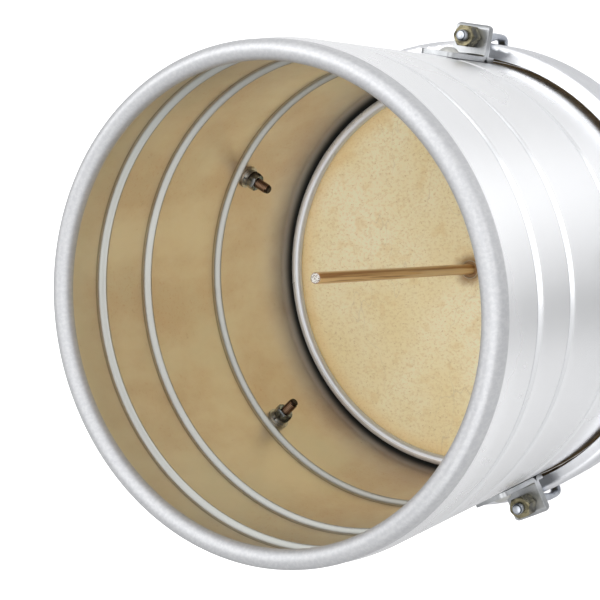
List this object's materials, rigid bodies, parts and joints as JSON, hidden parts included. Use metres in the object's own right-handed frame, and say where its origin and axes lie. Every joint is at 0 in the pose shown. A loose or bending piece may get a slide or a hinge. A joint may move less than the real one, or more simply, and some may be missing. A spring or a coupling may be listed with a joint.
{
  "type": "cuica",
  "caption": "Cuica, a metal friction drum with a skin head, a bamboo rubbing stick fixed inside it, a tension hoop and hook lugs.",
  "frame": {"origin": "on the drum's axis, in the plane of the tension hoop's rear edge, which the drum stands on", "axes": "+Z along the drum's axis towards its open end, +X through the first lug"},
  "size_m": [0.2315, 0.2314, 0.195],
  "materials": {
    "spun_aluminium": "satin spun finish",
    "goat_skin": "matt rawhide",
    "bamboo": "split cane, matt",
    "binding_cord": "waxed thread",
    "hoop_steel": "bright plated steel, lightly worn",
    "flesh_hoop_wood": "wrapped in skin",
    "bracket_steel": "plated sheet steel",
    "hook_steel": "bright zinc plating",
    "yellow_zinc": "yellow zinc plating",
    "dark_nut_steel": "dark oxidised steel"
  },
  "bodies": {
    "drum": {"shell": "spun_aluminium", "head_skin": "goat_skin", "bracket_bolts": "bracket_steel", "inner_washers": "bracket_steel", "lock_washers": "bracket_steel", "inner_nuts": "dark_nut_steel", "bracket_1": "bracket_steel", "bracket_2": "bracket_steel", "bracket_3": "bracket_steel", "bracket_4": "bracket_steel", "bracket_5": "bracket_steel"},
    "tension_ring": {"counterhoop": "hoop_steel", "flesh_hoop": "flesh_hoop_wood", "hook_1": "hook_steel", "hook_2": "hook_steel", "hook_3": "hook_steel", "hook_4": "hook_steel", "hook_5": "hook_steel"},
    "neck": {"skin_neck": "goat_skin", "stick_binding": "binding_cord"},
    "rubbing_stick": {"stick": "bamboo"},
    "nut_1": {"tension_nut_1": "yellow_zinc"},
    "nut_2": {"tension_nut_2": "yellow_zinc"},
    "nut_3": {"tension_nut_3": "yellow_zinc"},
    "nut_4": {"tension_nut_4": "yellow_zinc"},
    "nut_5": {"tension_nut_5": "yellow_zinc"}
  },
  "joints": [
    {"name": "ring_travel", "type": "slide", "parent": "drum", "child": "tension_ring", "axis": [0, 0, 1], "range_m": [-0.0016, 0.0016]},
    {"name": "nut_1_turn", "type": "hinge", "parent": "drum", "child": "nut_1", "pos_m": [0.1134, 0, 0.0473], "axis": [0, 0, 1], "range_deg": [-720, 720]},
    {"name": "nut_2_turn", "type": "hinge", "parent": "drum", "child": "nut_2", "pos_m": [0.03504, 0.10785, 0.0473], "axis": [0, 0, 1], "range_deg": [-720, 720]},
    {"name": "nut_3_turn", "type": "hinge", "parent": "drum", "child": "nut_3", "pos_m": [-0.09174, 0.06666, 0.0473], "axis": [0, 0, 1], "range_deg": [-720, 720]},
    {"name": "nut_4_turn", "type": "hinge", "parent": "drum", "child": "nut_4", "pos_m": [-0.09174, -0.06666, 0.0473], "axis": [0, 0, 1], "range_deg": [-720, 720]},
    {"name": "nut_5_turn", "type": "hinge", "parent": "drum", "child": "nut_5", "pos_m": [0.03504, -0.10785, 0.0473], "axis": [0, 0, 1], "range_deg": [-720, 720]},
    {"name": "stick_stroke", "type": "slide", "parent": "drum", "child": "neck", "axis": [0, 0, 1], "range_m": [-0.001, 0.001], "stiffness_N_per_m": 2000},
    {"name": "stick_lean", "type": "hinge", "parent": "neck", "child": "rubbing_stick", "pos_m": [0.0031, 0.0016, 0.0038], "axis": [0, 1, 0], "range_deg": [-4, 4], "stiffness_Nm_per_rad": 1}
  ],
  "couplings": [
    {"joint": "nut_1_turn", "follows": "ring_travel", "rad_per_m": -7854},
    {"joint": "nut_2_turn", "follows": "ring_travel", "rad_per_m": -7854},
    {"joint": "nut_3_turn", "follows": "ring_travel", "rad_per_m": -7854},
    {"joint": "nut_4_turn", "follows": "ring_travel", "rad_per_m": -7854},
    {"joint": "nut_5_turn", "follows": "ring_travel", "rad_per_m": -7854}
  ]
}
